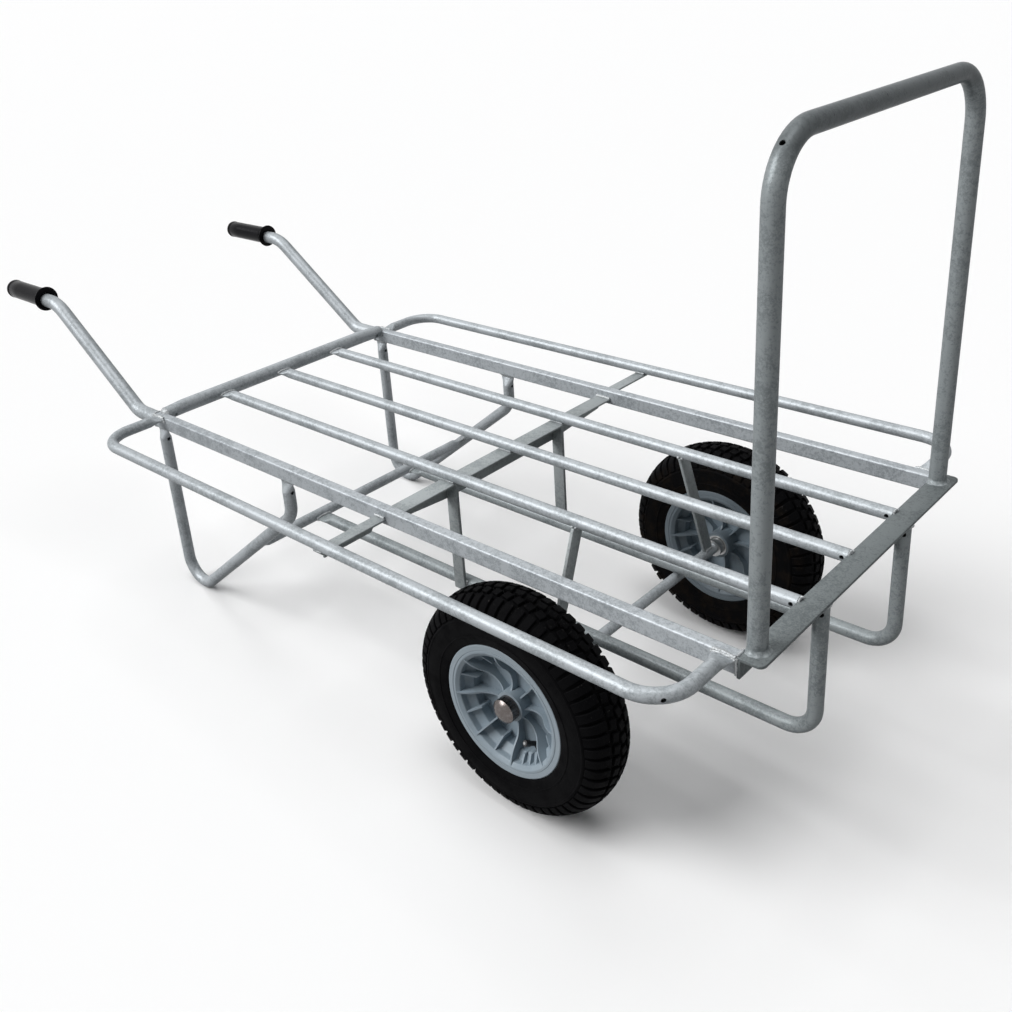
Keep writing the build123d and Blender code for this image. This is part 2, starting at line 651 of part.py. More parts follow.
# Wheels: rim, bearings, valve, tube and tyre
for side, sign in SIDES.items():
    axle_line = Axis((0, 0, AXLE_Z), (0, 1, 0))

    with BuildPart() as rim:
        rounds = [RIM_EDGE_ROUND] * 5 + [RIM_LIP_ROUND] + [RIM_EDGE_ROUND] * 4 + [RIM_DISH_ROUND] * 4
        with BuildSketch(radial_plane(sign)):
            with BuildLine():
                FilletPolyline(
                    (RIM_WELL_R, 0),
                    (RIM_WELL_R, RIM_WELL_HALF),
                    (RIM_SEAT_R, RIM_SEAT_FROM),
                    (RIM_SEAT_R, RIM_SEAT_TO),
                    (RIM_SEAT_R + RIM_WALL, RIM_LIP_HALF - RIM_LIP_THICK),
                    (RIM_LIP_R, RIM_LIP_HALF - RIM_LIP_THICK),
                    (RIM_LIP_R, RIM_LIP_HALF),
                    (RIM_GROOVE_R + RIM_GROOVE_WIDE, RIM_LIP_HALF),
                    (RIM_GROOVE_R + RIM_GROOVE_WIDE, RIM_LIP_HALF - RIM_GROOVE_DEEP),
                    (RIM_GROOVE_R, RIM_LIP_HALF - RIM_GROOVE_DEEP),
                    (RIM_GROOVE_R, RIM_LIP_HALF),
                    (RIM_MOUTH_R, RIM_LIP_HALF),
                    (RIM_SEAT_R - RIM_WALL, RIM_SEAT_TO + RIM_WALL),
                    (RIM_SEAT_R - RIM_WALL, RIM_SEAT_FROM + RIM_WALL),
                    (RIM_WELL_R - RIM_WALL, RIM_WELL_HALF + RIM_WALL),
                    (RIM_WELL_R - RIM_WALL, 0),
                    radius=rounds,
                )
                Line((RIM_WELL_R - RIM_WALL, 0), (RIM_WELL_R, 0))
            make_face()
            mirror(about=Plane.XZ)
            with Locations((HUB_BORE_R, 0)):
                Rectangle(RIM_WELL_R - HUB_BORE_R, 2 * RIM_WEB_HALF, align=(Align.MIN, Align.CENTER))
            with Locations((HUB_BORE_R, -HUB_IN)):
                Rectangle(HUB_R - HUB_BORE_R, HUB_IN + HUB_OUT, align=(Align.MIN, Align.MIN))
            seat_r = BEARING_R + FIT_GAP
            for start, end in ((BEARING_OUT - BEARING_WIDE, HUB_OUT), (-HUB_IN, BEARING_WIDE - HUB_IN)):
                with Locations((seat_r / 2, (start + end) / 2)):
                    Rectangle(seat_r, end - start, mode=Mode.SUBTRACT)
        revolve(axis=axle_line)
        for face in (1, -1):
            hub_height = RIB_HUB_HEIGHT if face == 1 else RIB_INNER_HUB_HEIGHT
            for step in range(RIB_COUNT):
                long_turn = RIB_TURN + step * 360 / RIB_COUNT
                long_rib(sign, long_turn, face, hub_height)
                short_turn = long_turn + 180 / RIB_COUNT
                if short_turn != VALVE_TURN:
                    short_rib(sign, short_turn, face)
                else:
                    for apart in (-VALVE_RIB_SPREAD, 0, VALVE_RIB_SPREAD):
                        short_rib(sign, short_turn + apart, face, VALVE_RIB_END_R, VALVE_RIB_END_HEIGHT)
        spoke = radial_plane(sign, VALVE_TURN)
        hole_foot = spoke.from_local_coords((VALVE_BEND_R, VALVE_OUT, 0))
        with BuildSketch(Plane(origin=hole_foot, z_dir=spoke.x_dir)):
            Circle(VALVE_DIA / 2 + FIT_GAP)
        extrude(amount=RIM_SEAT_R - VALVE_BEND_R, mode=Mode.SUBTRACT)
    pieces[f"rim_{side}"] = rim

    with BuildPart() as hub_bearings:
        for start in (-HUB_IN, BEARING_OUT - BEARING_WIDE):
            end = start + BEARING_WIDE
            axle_ring(sign, AXLE_DIA / 2 + RUNNING_GAP, BEARING_R, start, end)
            groove_in, groove_out = BEARING_GROOVE_R
            axle_ring(sign, groove_in, groove_out, start, start + BEARING_GROOVE_DEEP, Mode.SUBTRACT)
            axle_ring(sign, groove_in, groove_out, end - BEARING_GROOVE_DEEP, end, Mode.SUBTRACT)
    pieces[f"hub_bearings_{side}"] = hub_bearings

    with BuildPart() as hub_spacer:
        axle_ring(sign, AXLE_DIA / 2 + SEAT_GAP, SPACER_R, BEARING_WIDE - HUB_IN, BEARING_OUT - BEARING_WIDE)
    pieces[f"hub_spacer_{side}"] = hub_spacer

    with BuildPart() as valve_stem:
        foot = spoke.from_local_coords((TUBE_MID_R - TUBE_HIGH - SEAT_GAP, VALVE_OUT, 0))
        stem_end, valve_lean = valve_place(sign, VALVE_LONG)
        with BuildLine() as stem_route:
            FilletPolyline(foot, hole_foot, stem_end, radius=VALVE_BEND)
        with BuildSketch(Plane(origin=foot, z_dir=stem_route.line % 0)) as stem_section:
            Circle(VALVE_DIA / 2)
        sweep(stem_section.sketch, path=stem_route.line)
    pieces[f"valve_stem_{side}"] = valve_stem

    with BuildPart() as valve_cap:
        with BuildSketch(Plane(origin=stem_end, z_dir=valve_lean)):
            Circle(VALVE_CAP_DIA / 2)
        extrude(amount=VALVE_CAP_LONG)
        fillet(valve_cap.edges().filter_by(GeomType.CIRCLE), VALVE_CAP_ROUND)
    pieces[f"valve_cap_{side}"] = valve_cap

    with BuildPart() as inner_tube:
        with BuildSketch(radial_plane(sign)):
            with Locations((TUBE_MID_R, 0)):
                Ellipse(TUBE_HIGH, TUBE_HALF)
                Ellipse(TUBE_HIGH - TUBE_WALL, TUBE_HALF - TUBE_WALL, mode=Mode.SUBTRACT)
        revolve(axis=axle_line)
    pieces[f"inner_tube_{side}"] = inner_tube

    with BuildPart() as tyre:
        lip_r = RIM_LIP_R + SEAT_GAP
        lip_inside = RIM_LIP_HALF - RIM_LIP_THICK - SEAT_GAP
        bead_r = RIM_SEAT_R + SEAT_GAP
        with BuildSketch(radial_plane(sign)):
            with BuildLine():
                Spline(
                    (TREAD_SHOULDER_R, TREAD_SHOULDER_HALF),
                    (SIDEWALL_R, TYRE_WIDTH / 2),
                    (lip_r, RIM_LIP_HALF + SEAT_GAP),
                    tangents=[(-0.5, 1), (-1, -0.7)],
                )
                Polyline(
                    (lip_r, RIM_LIP_HALF + SEAT_GAP),
                    (lip_r, lip_inside),
                    (bead_r + RIM_WALL, lip_inside),
                    (bead_r, RIM_SEAT_TO - SEAT_GAP),
                    (bead_r, RIM_SEAT_FROM + SEAT_GAP),
                    (bead_r + BEAD_HIGH, RIM_SEAT_FROM + SEAT_GAP),
                )
                Spline(
                    (bead_r + BEAD_HIGH, RIM_SEAT_FROM + SEAT_GAP),
                    (SIDEWALL_R, TYRE_WIDTH / 2 - CASING),
                    (TYRE_DIA / 2 - CASING, 0),
                    tangents=[(1, 0.9), (0, -1)],
                )
                mirror(about=Plane.XZ)
                ThreePointArc(
                    (TREAD_SHOULDER_R, -TREAD_SHOULDER_HALF),
                    (TYRE_DIA / 2, 0),
                    (TREAD_SHOULDER_R, TREAD_SHOULDER_HALF),
                )
            make_face()
        revolve(axis=axle_line)
    pieces[f"tyre_{side}"] = tyre

# Stance: lean back about the axle until the bends of the legs stand on the same ground as the wheels,
# then put the origin on the ground under the middle of the cart
bend_turn = 90 + degrees(atan(LEG_SLOPE))
bend_behind = -(LEG_REAR + LEG_LOW_BEND)
bend_below = AXLE_Z - leg_axis_z(LEG_REAR) - LEG_LOW_BEND * tan(radians(bend_turn / 2))
bend_smaller = AXLE_Z - LEG_LOW_BEND - LEG_DIA / 2
lean = degrees(asin(bend_smaller / hypot(bend_behind, bend_below)) - atan2(bend_below, bend_behind))
leaning = Pos(0, 0, AXLE_Z) * Rot(0, -lean, 0) * Pos(0, 0, -AXLE_Z)
for piece in pieces.values():
    piece.part = piece.part.moved(leaning)

boxes = [piece.part.bounding_box() for piece in pieces.values()]
rear_end = min(box.min.X for box in boxes)
front_end = max(box.max.X for box in boxes)
ground = min(box.min.Z for box in boxes)
to_origin = Pos(-(rear_end + front_end) / 2, 0, -ground)

os.makedirs("parts", exist_ok=True)
for name, piece in pieces.items():
    piece.part = piece.part.moved(to_origin)
    piece.part.label = name
    export_step(piece.part, f"parts/{name}.step")

axle_at = (to_origin * Pos(0, 0, AXLE_Z)).position
print(f"{len(pieces)} pieces, leaning back {lean:.3f} degrees")
print(f"axle at X {axle_at.X:.2f} Z {axle_at.Z:.2f}, ground was at {ground:.3f}")
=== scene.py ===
"""Looks of a galvanised two-wheeled sheet cart, built around its packed construction model."""
import json
import logging
import math
import random
from dataclasses import dataclass, field
from enum import Enum
from typing import Any, Iterable, Sequence, Union

import bmesh
import bpy
from mathutils import Matrix, Vector, noise


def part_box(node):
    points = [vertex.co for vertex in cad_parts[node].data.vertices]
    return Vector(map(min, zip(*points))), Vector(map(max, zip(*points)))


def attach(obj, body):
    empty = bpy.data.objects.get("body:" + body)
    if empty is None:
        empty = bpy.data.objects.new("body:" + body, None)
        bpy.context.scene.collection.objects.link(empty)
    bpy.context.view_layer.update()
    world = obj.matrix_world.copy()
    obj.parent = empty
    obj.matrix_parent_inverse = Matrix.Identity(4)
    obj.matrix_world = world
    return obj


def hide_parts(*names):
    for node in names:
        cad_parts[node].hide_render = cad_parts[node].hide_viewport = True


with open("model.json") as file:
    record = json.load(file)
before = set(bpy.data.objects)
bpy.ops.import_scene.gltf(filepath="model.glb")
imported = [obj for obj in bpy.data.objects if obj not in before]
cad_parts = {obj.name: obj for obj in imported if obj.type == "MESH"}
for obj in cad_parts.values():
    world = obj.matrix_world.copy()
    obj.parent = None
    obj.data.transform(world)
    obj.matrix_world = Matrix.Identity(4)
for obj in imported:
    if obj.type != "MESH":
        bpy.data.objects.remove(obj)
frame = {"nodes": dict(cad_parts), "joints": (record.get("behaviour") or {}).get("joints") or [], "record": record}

log = logging.getLogger("cart")
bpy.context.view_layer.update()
Number = Union[int, float]
Colour = tuple[float, float, float]
Point = Sequence[float]
MM = 0.001
SAME_POINT = 1e-6
FULL_TURN = 2.0 * math.pi
AHEAD = Vector((1.0, 0.0, 0.0))
LEFT = Vector((0.0, 1.0, 0.0))
UP = Vector((0.0, 0.0, 1.0))


class Wire:
    """A shader value: an output socket whose arithmetic adds Math nodes."""

    def __init__(self, shader: "Shader", socket: bpy.types.NodeSocket) -> None:
        """Keep the socket and the shader that it belongs to."""
        self.shader = shader
        self.socket = socket

    def math(self, operation: str, *values: Union["Wire", Number]) -> "Wire":
        """Add a Math node.

        Args:
            operation: The Math node's operation.
            values: The node's inputs in order.

        Returns:
            The node's result.
        """
        return self.shader.node("ShaderNodeMath", {"operation": operation}, dict(enumerate(values)))

    def __add__(self, other: Union["Wire", Number]) -> "Wire":
        """Sum of two values."""
        return self.math("ADD", self, other)

    __radd__ = __add__

    def __mul__(self, other: Union["Wire", Number]) -> "Wire":
        """Product of two values."""
        return self.math("MULTIPLY", self, other)

    __rmul__ = __mul__

    def __sub__(self, other: Union["Wire", Number]) -> "Wire":
        """Difference of two values."""
        return self.math("SUBTRACT", self, other)

    def __rsub__(self, other: Number) -> "Wire":
        """Difference of a number and this value."""
        return self.math("SUBTRACT", other, self)

    def __pow__(self, power: Number) -> "Wire":
        """This value to a power."""
        return self.math("POWER", self, power)

    def __abs__(self) -> "Wire":
        """This value without its sign."""
        return self.math("ABSOLUTE", self)

    def ramp(self, low: Number, high: Number, start: Number = 0.0, end: Number = 1.0) -> "Wire":
        """Smoothly map low..high to start..end, held at both ends.

        Args:
            low: Value that gives start.
            high: Value that gives end.
            start: Result at low.
            end: Result at high.

        Returns:
            The mapped value.
        """
        settings = {"interpolation_type": "SMOOTHSTEP"}
        sockets = {"Value": self, "From Min": low, "From Max": high, "To Min": start, "To Max": end}
        return self.shader.node("ShaderNodeMapRange", settings, sockets)


class Shader:
    """One node material under construction, on object coordinates."""

    def __init__(self, name: str) -> None:
        """Start a material with a surface shader and nothing else.

        Args:
            name: The material's name.
        """
        self.material = bpy.data.materials.new(name)
        self.material.use_nodes = True
        self.tree = self.material.node_tree
        self.surface = self.tree.nodes["Principled BSDF"]
        self.place = self.node("ShaderNodeTexCoord", output="Object")

    @classmethod
    def of_tree(cls, tree: bpy.types.NodeTree) -> "Shader":
        """Work in a node tree that exists, such as the world's.

        Args:
            tree: The node tree.

        Returns:
            A shader that adds its nodes to that tree.
        """
        made = cls.__new__(cls)
        made.tree = tree
        return made

    def seen(self) -> Wire:
        """Tell what is looked at from what only lights other things.

        Returns:
            1 for what the camera, a reflection or clear matter shows, 0 for light that falls on things.
        """
        rays = [self.node("ShaderNodeLightPath", output=f"Is {kind} Ray")
                for kind in ("Camera", "Glossy", "Transmission")]
        return rays[0].math("MAXIMUM", rays[0].math("MAXIMUM", rays[0], rays[1]), rays[2])

    def node(self, kind: str, settings: dict[str, Any] | None = None,
             sockets: dict[Union[str, int], Any] | None = None, output: Union[str, int] = 0) -> Wire:
        """Add one node.

        Args:
            kind: The node's type.
            settings: Properties of the node, set first.
            sockets: Input values or wires, by socket name or number.
            output: Output socket to return.

        Returns:
            The chosen output.
        """
        made = self.tree.nodes.new(kind)
        for name, value in (settings or {}).items():
            setattr(made, name, value)
        for name, value in (sockets or {}).items():
            self.feed(made.inputs[name], value)
        return Wire(self, made.outputs[output])

    def feed(self, socket: bpy.types.NodeSocket, value: Any) -> None:
        """Link a wire to a socket, or set its value.

        Args:
            socket: The input socket.
            value: A wire, a number, a vector or a colour.
        """
        if isinstance(value, Wire):
            self.tree.links.new(value.socket, socket)
        elif socket.type == "RGBA" and len(value) == 3:
            socket.default_value = (*value, 1.0)
        else:
            socket.default_value = value

    def set(self, **sockets: Any) -> None:
        """Set or link the surface shader's sockets, named with _ for each blank."""
        for name, value in sockets.items():
            self.feed(self.surface.inputs[name.replace("_", " ")], value)

    def split(self, vector: Wire) -> list[Wire]:
        """The three parts of a vector."""
        made = self.node("ShaderNodeSeparateXYZ", None, {"Vector": vector}).socket.node
        return [Wire(self, socket) for socket in made.outputs]

    def noise(self, scale: float, detail: float = 4.0, roughness: float = 0.55,
              stretch: Point = (1.0, 1.0, 1.0)) -> Wire:
        """Noise of about 0 to 1 with that many features a metre.

        Args:
            scale: Features a metre.
            detail: Octaves.
            roughness: How strong the finer octaves are.
            stretch: Scale along each axis.

        Returns:
            The noise value.
        """
        place = self.node("ShaderNodeMapping", None, {"Vector": self.place, "Scale": stretch})
        sockets = {"Vector": place, "Scale": scale, "Detail": detail, "Roughness": roughness}
        return self.node("ShaderNodeTexNoise", None, sockets)

    def mix(self, factor: Union[Wire, Number], first: Any, second: Any) -> Wire:
        """Blend two colours by a factor of 0 to 1."""
        return self.node("ShaderNodeMix", {"data_type": "RGBA"}, {0: factor, 6: first, 7: second}, 2)

    def bump(self, height: Wire, strength: float, distance: float) -> Wire:
        """Turn a height into a normal."""
        sockets = {"Strength": strength, "Distance": distance, "Height": height}
        return self.node("ShaderNodeBump", None, sockets)

    def axle_distance(self, axle: Vector) -> Wire:
        """Distance from the axle's line, in metres."""
        x, _, z = self.split(self.place)
        return ((x - axle.x) ** 2 + (z - axle.z) ** 2) ** 0.5


@dataclass(frozen=True)
class Zinc:
    """Hot-dip zinc: satin grey with soft clouds, mottling, fine grain, marks and small lumps, with painted shade
    above a set height.
    """

    name: str
    light: Colour = (0.43, 0.46, 0.482)
    dark: Colour = (0.225, 0.248, 0.26)
    mottle: float = 0.3
    grain: float = 0.35
    metal: float = 0.24
    rough: float = 0.37
    edge: Colour = (0.3, 0.31, 0.32)
    along: Point = (1.0, 0.06, 0.06)
    # painted shade: the base colour darkens above this height in metres; 9 m leaves it unused
    dull_above: float = 9.0

    def material(self) -> bpy.types.Material:
        """Build the material.

        Returns:
            The finished material.
        """
        s = Shader(self.name)
        clouds = s.noise(16.0, 5.0, 0.6)
        mottle = s.noise(120.0, 3.0, 0.65)
        fine = s.noise(330.0, 3.0, 0.75)
        marks = s.noise(170.0, 3.0, 0.7, self.along).ramp(0.55, 0.68)
        lumps = s.noise(210.0, 1.0, 0.4).ramp(0.66, 0.74)
        plain = 1.0 - self.mottle - self.grain
        tone = (clouds * plain + mottle * self.mottle + fine * self.grain).ramp(0.41, 0.59)
        sheen = (tone + 0.22 * marks + 0.2 * lumps).math("MINIMUM", 1.0, tone + 0.35)
        # painted shade: above the set height the base colour falls towards 0.4 of the dark tone, standing in for
        # the shade on the hoop's top tube
        painted_top_shade = s.split(s.place)[2].ramp(self.dull_above, self.dull_above + 0.03, 0.0, 0.6)
        colour = s.mix(sheen, self.dark, self.light)
        s.set(Base_Color=s.mix(painted_top_shade, colour, tuple(0.4 * c for c in self.dark)))
        s.set(Metallic=self.metal, Specular_Tint=(*self.edge, 1.0), Specular_IOR_Level=0.05)
        s.set(Roughness=self.rough - 0.16 + 0.16 * clouds + 0.16 * fine - 0.06 * lumps)
        height = fine * 0.35 + clouds + mottle * 0.5 + lumps * 0.5 + marks * 0.15
        s.set(Normal=s.bump(height, 0.4, 0.0009))
        return s.material


@dataclass(frozen=True)
class TyreRubber:
    """Black tyre rubber with grey dust on the tread and brown dust on the inner side."""

    name: str
    black: Colour = (0.0026, 0.0026, 0.003)
    dust: Colour = (0.1, 0.095, 0.09)
    soil: Colour = (0.014, 0.0105, 0.008)
    tread_from: float = 0.178
    wheel_y: float = 0.315

    def material(self) -> bpy.types.Material:
        """Build the material.

        Returns:
            The finished material.
        """
        s = Shader(self.name)
        radius = s.axle_distance(Bed.from_record().axle)
        inside = (abs(s.split(s.place)[1]) - self.wheel_y).ramp(0.01, -0.03)
        specks = s.noise(260.0, 4.0, 0.7).ramp(0.6, 0.74)
        patches = s.noise(38.0, 4.0, 0.6).ramp(0.42, 0.7)
        tread = radius.ramp(self.tread_from, self.tread_from + 0.014)
        soiled = s.mix(patches * inside * (1.0 - tread) * 0.8, self.black, self.soil)
        dusty = specks * patches * (tread * 0.75 + 0.12)
        s.set(Base_Color=s.mix(dusty, soiled, self.dust))
        grain = s.noise(1500.0, 2.0, 0.6)
        s.set(Roughness=0.62 + 0.2 * patches + 0.1 * specks, Specular_IOR_Level=0.03)
        s.set(Normal=s.bump(grain + specks, 0.3, 0.0003))
        return s.material


@dataclass(frozen=True)
class Moulded:
    """Moulded rubber or plastic with a fine grain and faint wear."""

    name: str
    colour: Colour
    worn: Colour
    rough: float
    grain: float
    gloss: float = 0.5

    def material(self) -> bpy.types.Material:
        """Build the material.

        Returns:
            The finished material.
        """
        s = Shader(self.name)
        clouds = s.noise(18.0, 5.0, 0.6)
        fine = s.noise(700.0, 2.0, 0.6)
        s.set(Base_Color=s.mix((clouds * 0.7 + fine * 0.3).ramp(0.38, 0.72), self.colour, self.worn))
        s.set(Roughness=self.rough - 0.05 + 0.14 * clouds, Specular_IOR_Level=self.gloss)
        s.set(Normal=s.bump(fine, self.grain, 0.0003))
        return s.material


@dataclass(frozen=True)
class RimPlastic:
    """Pale blue-grey moulded plastic, chalky on the lip, darkened towards the inner side by painted shade."""

    name: str
    colour: Colour = (0.29, 0.35, 0.395)
    chalk: Colour = (0.31, 0.365, 0.405)
    shade: Colour = (0.23, 0.285, 0.33)
    # painted shade: colour that the rim's inner side darkens towards
    grime: Colour = (0.12, 0.148, 0.17)
    wheel_y: float = 0.315

    def material(self) -> bpy.types.Material:
        """Build the material.

        Returns:
            The finished material.
        """
        s = Shader(self.name)
        clouds = s.noise(22.0, 6.0, 0.6)
        fine = s.noise(500.0, 3.0, 0.6)
        radius = s.axle_distance(Bed.from_record().axle)
        lip = radius.ramp(0.1, 0.112)
        body = s.mix((clouds * 0.75 + fine * 0.25).ramp(0.35, 0.7), self.shade, self.colour)
        # painted shade: the base colour darkens towards the wheel's inner side, up to 0.85 of the way to the shade
        # colour, standing in for the shade cast by the bed
        inside = (abs(s.split(s.place)[1]) - self.wheel_y).ramp(0.0, -0.03, 0.0, 0.85)
        colour_before_shade = s.mix(lip * 0.7 + 0.3 * clouds * fine, body, self.chalk)
        s.set(Base_Color=s.mix(inside, colour_before_shade, self.grime))
        s.set(Roughness=0.4 + 0.16 * clouds, Normal=s.bump(fine, 0.12, 0.0003), Specular_IOR_Level=0.4)
        return s.material


@dataclass(frozen=True)
class Plated:
    """Bright plated metal with brownish stains."""

    name: str
    bright: Colour
    stain: Colour
    rough: float

    def material(self) -> bpy.types.Material:
        """Build the material.

        Returns:
            The finished material.
        """
        s = Shader(self.name)
        stains = s.noise(130.0, 6.0, 0.7)
        spots = s.noise(520.0, 3.0, 0.6).ramp(0.6, 0.75)
        cover = (stains.ramp(0.4, 0.7) * 0.8 + spots * 0.35).math("MINIMUM", 1.0, stains + 0.5)
        s.set(Base_Color=s.mix(cover, self.bright, self.stain), Metallic=1.0)
        s.set(Roughness=self.rough + 0.22 * stains.ramp(0.4, 0.75), Normal=s.bump(stains, 0.15, 0.0004))
        return s.material


class Finish(Enum):
    """Finishes of the cart's pieces."""

    galvanised_steel = Zinc("zinc_on_tube")
    zinc_on_uprights = Zinc("zinc_on_uprights", along=(0.06, 0.06, 1.0))
    zinc_on_crossers = Zinc("zinc_on_crossers", along=(0.06, 1.0, 0.06))
    # painted shade: a darker copy of the tube zinc for the hoop, plus painted shade on its top tube above 1.105 m
    zinc_on_hoop = Zinc("zinc_on_hoop", (0.3, 0.328, 0.338), (0.165, 0.185, 0.192), metal=0.2,
                        rough=0.34, along=(0.06, 0.06, 1.0), dull_above=1.105)
    # painted shade: a darker copy of the tube zinc for the lower tubes, standing in for the shade under the bed
    zinc_on_lower = Zinc("zinc_on_lower", (0.32, 0.35, 0.36), (0.165, 0.186, 0.193), metal=0.2)
    zinc_on_rails = Zinc("zinc_on_rails", (0.45, 0.48, 0.505), (0.22, 0.243, 0.26), 0.35, 0.4,
                         along=(1.0, 0.06, 0.16))
    zinc_on_flats = Zinc("zinc_on_flats", (0.36, 0.388, 0.395), (0.215, 0.238, 0.243), 0.25, 0.4,
                         metal=0.2, rough=0.48)
    zinc_on_plate = Zinc("zinc_on_plate", (0.18, 0.2, 0.204), (0.092, 0.104, 0.108), 0.25, 0.45,
                         metal=0.15, rough=0.5)
    zinc_on_welds = Zinc("zinc_on_welds", (0.5, 0.52, 0.53), (0.22, 0.235, 0.245), 0.25, 0.5,
                         metal=0.3, rough=0.42)
    grip_rubber = Moulded("ribbed_grip_rubber", (0.002, 0.002, 0.003), (0.005, 0.005, 0.007), 0.2, 0.1,
                          0.06)
    axle_steel = Plated("plated_axle_steel", (0.56, 0.575, 0.585), (0.36, 0.365, 0.365), 0.3)
    cap_chrome = Plated("dull_cap_chrome", (0.44, 0.43, 0.44), (0.13, 0.115, 0.11), 0.2)
    tyre_rubber = TyreRubber("dusty_tyre_rubber")
    tube_rubber = Moulded("butyl_tube_rubber", (0.02, 0.02, 0.02), (0.03, 0.03, 0.03), 0.6, 0.2)
    rim_plastic = RimPlastic("chalky_rim_plastic")
    valve_rubber = Moulded("moulded_valve_rubber", (0.008, 0.008, 0.009), (0.02, 0.02, 0.02), 0.45,
                           0.2)

    def paint(self) -> bpy.types.Material:
        """The finish's material, made once."""
        return bpy.data.materials.get(self.value.name) or self.value.material()


@dataclass(frozen=True)
class Bed:
    """The cart's own axes in millimetres, with the bed level and the axle at (0, 0, 200)."""

    axle: Vector
    lean: float
    axle_height: float = 200.0

    @classmethod
    def from_record(cls) -> "Bed":
        """Read the axle and the bed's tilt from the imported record.

        Returns:
            The bed's axes.
        """
        x, _, z = frame["joints"][0]["pos_m"]
        up = frame["record"]["mounts"][0]["axis"]
        return cls(Vector((x, 0.0, z)), math.atan2(-up[0], up[2]))

    def matrix(self) -> Matrix:
        """Turns level-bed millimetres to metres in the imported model's frame."""
        level = Matrix.Scale(MM, 4) @ Matrix.Translation((0.0, 0.0, -self.axle_height))
        return Matrix.Translation(self.axle) @ Matrix.Rotation(-self.lean, 4, "Y") @ level


class Shape:
    """A mesh under construction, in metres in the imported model's frame."""

    def __init__(self) -> None:
        """Start an empty mesh."""
        self.mesh = bmesh.new()

    def everything(self) -> list:
        """All of the mesh's elements."""
        return [*self.mesh.verts, *self.mesh.edges, *self.mesh.faces]

    def soften(self, width: float, segments: int = 2, turn: float = 35.0) -> None:
        """Round the edges over which the faces turn sharply.

        Args:
            width: Bevel width in metres.
            segments: Faces across the round.
            turn: Least turn of an edge that is rounded, in degrees.
        """
        least = math.radians(turn)
        edges = [e for e in self.mesh.edges if e.is_manifold and e.calc_face_angle() > least]
        bmesh.ops.bevel(self.mesh, geom=edges, offset=width, offset_type="OFFSET", affect="EDGES",
                        segments=segments, profile=0.5, material=-1, clamp_overlap=True)

    def turned(self, profile: Iterable[Point], centre: Vector, axis: Vector, out: Vector, steps: int,
               closed: bool = False) -> None:
        """Spin a profile about an axis.

        Args:
            profile: Pairs of a radius and a distance along the axis.
            centre: Point on the axis that the distances start from.
            axis: Direction of the axis.
            out: Direction in which the profile is drawn.
            steps: Steps of the spin.
            closed: Whether the profile's end joins its start.
        """
        dots = [self.mesh.verts.new(centre + out * r + axis * a) for r, a in profile]
        runs = list(zip(dots, dots[1:])) + ([(dots[-1], dots[0])] if closed else [])
        edges = [self.mesh.edges.new(run) for run in runs]
        bmesh.ops.spin(self.mesh, geom=[*dots, *edges], cent=centre, axis=axis, angle=FULL_TURN,
                       steps=steps, use_merge=True, use_duplicate=False)
        bmesh.ops.remove_doubles(self.mesh, verts=self.mesh.verts, dist=SAME_POINT)

    def ringed(self, centre: Vector, axis: Vector, count: int) -> None:
        """Repeat what is there evenly round an axis.

        Args:
            centre: Point on the axis.
            axis: Direction of the axis.
            count: How many there are in the end.
        """
        bmesh.ops.spin(self.mesh, geom=self.everything(), cent=centre, axis=axis, use_duplicate=True,
                       angle=FULL_TURN * (count - 1) / count, steps=count - 1)

    def take(self, other: "Shape") -> None:
        """Add another shape's mesh and release it.

        Args:
            other: The shape that is used up.
        """
        held = bpy.data.meshes.new("held")
        other.mesh.to_mesh(held)
        other.mesh.free()
        self.mesh.from_mesh(held)
        bpy.data.meshes.remove(held)

    def piece(self, name: str, body: str, finish: Finish, replaced: Sequence[str] = (),
              sharp: float = 34.0) -> bpy.types.Object:
        """Make the finished object, riding on a body.

        Args:
            name: The object's name.
            body: The body that it rides on.
            finish: Its finish.
            replaced: Construction nodes that it stands for.
            sharp: Turn above which an edge stays sharp, in degrees.

        Returns:
            The object.
        """
        bmesh.ops.recalc_face_normals(self.mesh, faces=self.mesh.faces)
        data = bpy.data.meshes.new(name)
        self.mesh.to_mesh(data)
        self.mesh.free()
        data.polygons.foreach_set("use_smooth", [True] * len(data.polygons))
        data.set_sharp_from_angle(angle=math.radians(sharp))
        data.materials.append(finish.paint())
        made = bpy.data.objects.new(name, data)
        bpy.context.scene.collection.objects.link(made)
        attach(made, body)
        if replaced:
            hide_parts(*replaced)
        log.info("%s rides on %s, %d faces", name, body, len(data.polygons))
        return made


